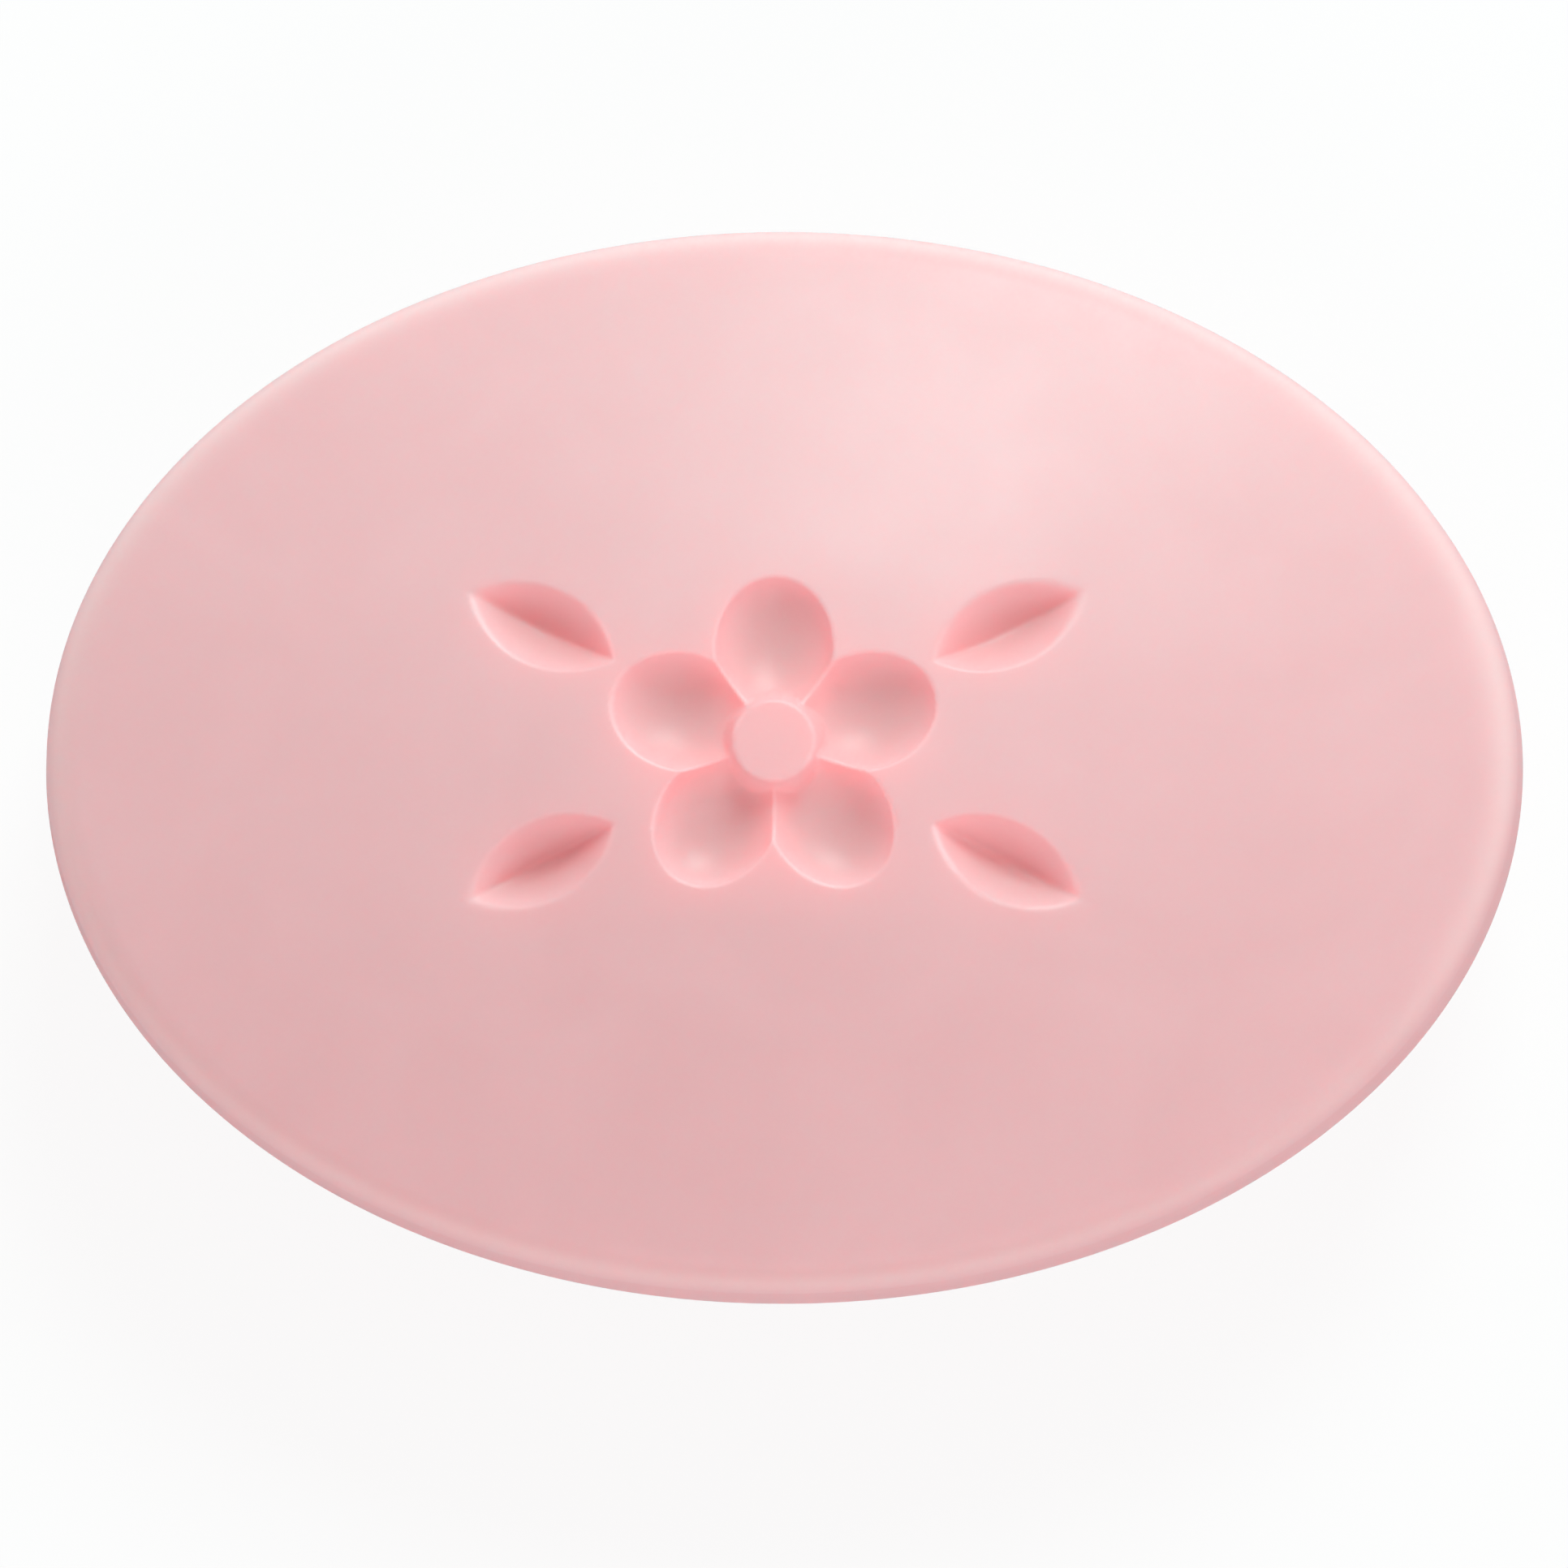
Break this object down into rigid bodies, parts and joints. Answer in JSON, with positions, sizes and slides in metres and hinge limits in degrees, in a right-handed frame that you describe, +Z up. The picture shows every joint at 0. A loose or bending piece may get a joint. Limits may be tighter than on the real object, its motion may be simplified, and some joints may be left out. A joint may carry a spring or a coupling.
{
  "type": "bar of soap",
  "caption": "Oval pressed bar of toilet soap with a domed top, rounded rims, a parting line and a sunk blossom between leaf sprays; lies flat on its underside.",
  "frame": {"origin": "middle of the flat oval the bar rests on, below the crown of its dome", "axes": "+X along the bar's length, +Y across its width towards the ornament's upper petal, +Z up out of the domed face"},
  "size_m": [0.09, 0.0654, 0.0275],
  "materials": {
    "soap": "satin, slightly translucent"
  },
  "bodies": {
    "root": {"soap_bar": "soap"}
  },
  "joints": []
}
